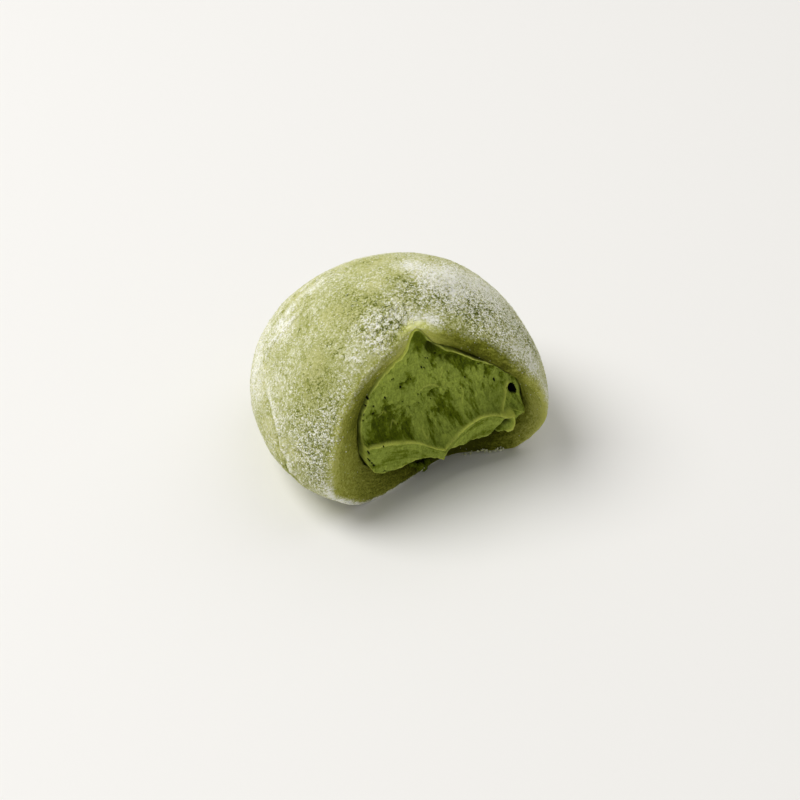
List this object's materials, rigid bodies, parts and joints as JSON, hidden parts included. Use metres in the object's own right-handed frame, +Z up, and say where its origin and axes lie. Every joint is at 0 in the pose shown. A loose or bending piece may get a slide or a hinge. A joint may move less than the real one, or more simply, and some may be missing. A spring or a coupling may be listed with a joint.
{
  "type": "mochi rice cake",
  "caption": "Bitten round rice cake: thick dusted green dough skin round a whipped matcha cream filling with a drooping lip.",
  "frame": {"origin": "middle of the cake's box, on the surface that it rests on", "axes": "+Z up, -Y the way the bite faces, +X along the bite"},
  "size_m": [0.0612, 0.0516, 0.0422],
  "materials": {
    "mochi_skin": "soft translucent green rice dough, dusted with white starch on the outside and bare and slightly moist on the bitten face",
    "matcha_cream": "whipped matcha cream, matt where it is full of air and darker and moist where it is smeared",
    "starch_dust": "dry white starch powder in fine grains and small clumps"
  },
  "bodies": {
    "root": {"mochi_skin": "mochi_skin", "matcha_cream": "matcha_cream"}
  },
  "joints": []
}
